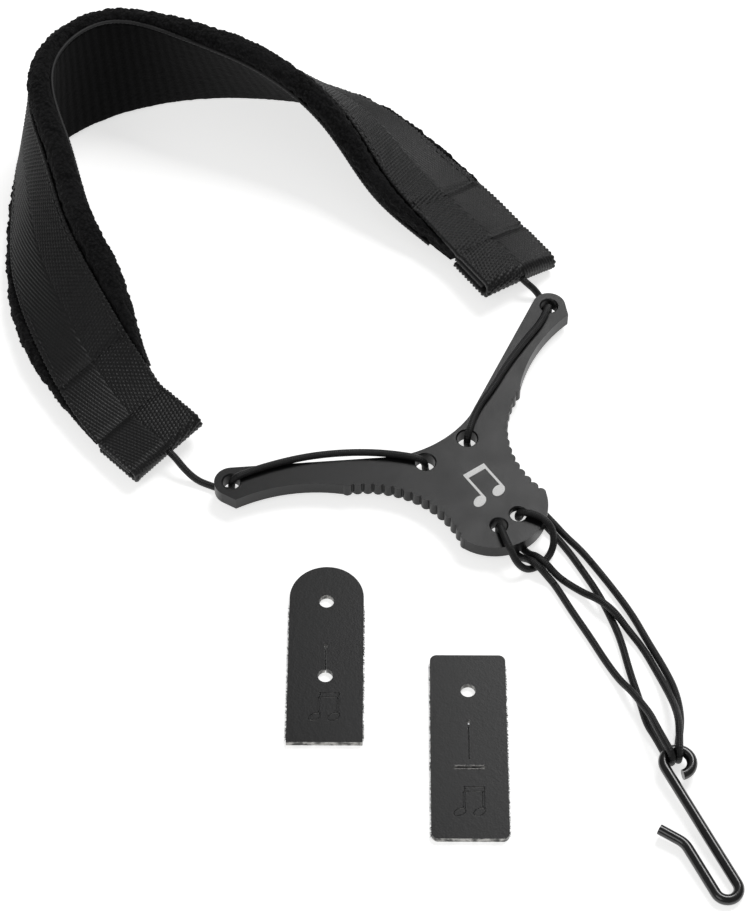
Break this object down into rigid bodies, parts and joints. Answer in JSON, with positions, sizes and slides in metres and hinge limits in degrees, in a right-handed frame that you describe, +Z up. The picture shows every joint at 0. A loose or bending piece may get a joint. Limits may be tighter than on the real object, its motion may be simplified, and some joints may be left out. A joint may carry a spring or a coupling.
{
  "type": "instrument neck strap",
  "caption": "Padded neck strap for a wind instrument: band, round cord, Y-shaped adjusting yoke and wire hook, laid flat, with two leather thumb tabs beside it.",
  "frame": {"origin": "on the table under the middle of the strap as it is laid out, the free cord left out", "axes": "+Z up from the table; +Y along the strap from the hook to the middle of the neck band; +X to the right"},
  "size_m": [0.1558, 0.3318, 0.037],
  "materials": {
    "webbing": "herringbone weave, matt",
    "fleece": "knobbly terry pile, matt",
    "foam": "soft open-cell foam",
    "lining": "smooth knitted lining",
    "piping": "twisted cord piping",
    "thread": "sewing thread",
    "cord": "braided round cord, slight sheen",
    "yoke_plastic": "satin moulded plastic",
    "emblem_ink": "printed ink",
    "coated_wire": "plastic-coated steel wire, glossy",
    "tab_leather": "grained leather, matt cut edges"
  },
  "bodies": {
    "yoke": {"yoke_plate": "yoke_plastic", "yoke_emblem": "emblem_ink", "left_arm_cord": "cord", "right_arm_cord": "cord", "lower_loop_cord": "cord"},
    "cord_tails": {"tail_cords": "cord"},
    "neck_band": {"webbing_strap": "webbing", "fleece_backing": "fleece", "foam_core": "foam", "pad_lining": "lining", "edge_piping": "piping", "seam_stitching": "thread", "end_stitching": "thread", "cord_knots": "cord"},
    "hook_cords": {"hook_strands": "cord", "eye_bights": "cord"},
    "hook": {"instrument_hook": "coated_wire"},
    "tab_round": {"leather_tab_round": "tab_leather"},
    "tab_square": {"leather_tab_square": "tab_leather"}
  },
  "joints": [
    {"name": "length_adjust", "type": "slide", "parent": "yoke", "child": "cord_tails", "axis": [0, 1, 0], "range_m": [-0.003, 0.08], "deforming": ["tail_cords"]},
    {"name": "band_fold", "type": "hinge", "parent": "cord_tails", "child": "neck_band", "pos_m": [0.006, 0.0291, 0.005], "axis": [0.9988, -0.0489, -0.0017], "range_deg": [0, 100]},
    {"name": "hook_take_up", "type": "slide", "parent": "yoke", "child": "hook_cords", "axis": [0, 1, 0], "range_m": [-0.0015, 0.04], "deforming": ["hook_strands"]},
    {"name": "hook_lift", "type": "hinge", "parent": "hook_cords", "child": "hook", "pos_m": [0.00194, -0.12339, 0.0036], "axis": [-0.9511, 0.309, 0], "range_deg": [0, 90], "deforming": ["eye_bights"]},
    {"name": "round_tab_lift", "type": "slide", "parent": "yoke", "child": "tab_round", "axis": [0, 0, 1], "range_m": [0, 0.1]},
    {"name": "square_tab_lift", "type": "slide", "parent": "yoke", "child": "tab_square", "axis": [0, 0, 1], "range_m": [0, 0.1]}
  ],
  "couplings": [
    {"joint": "hook_take_up", "follows": "length_adjust", "ratio": 0.5}
  ]
}
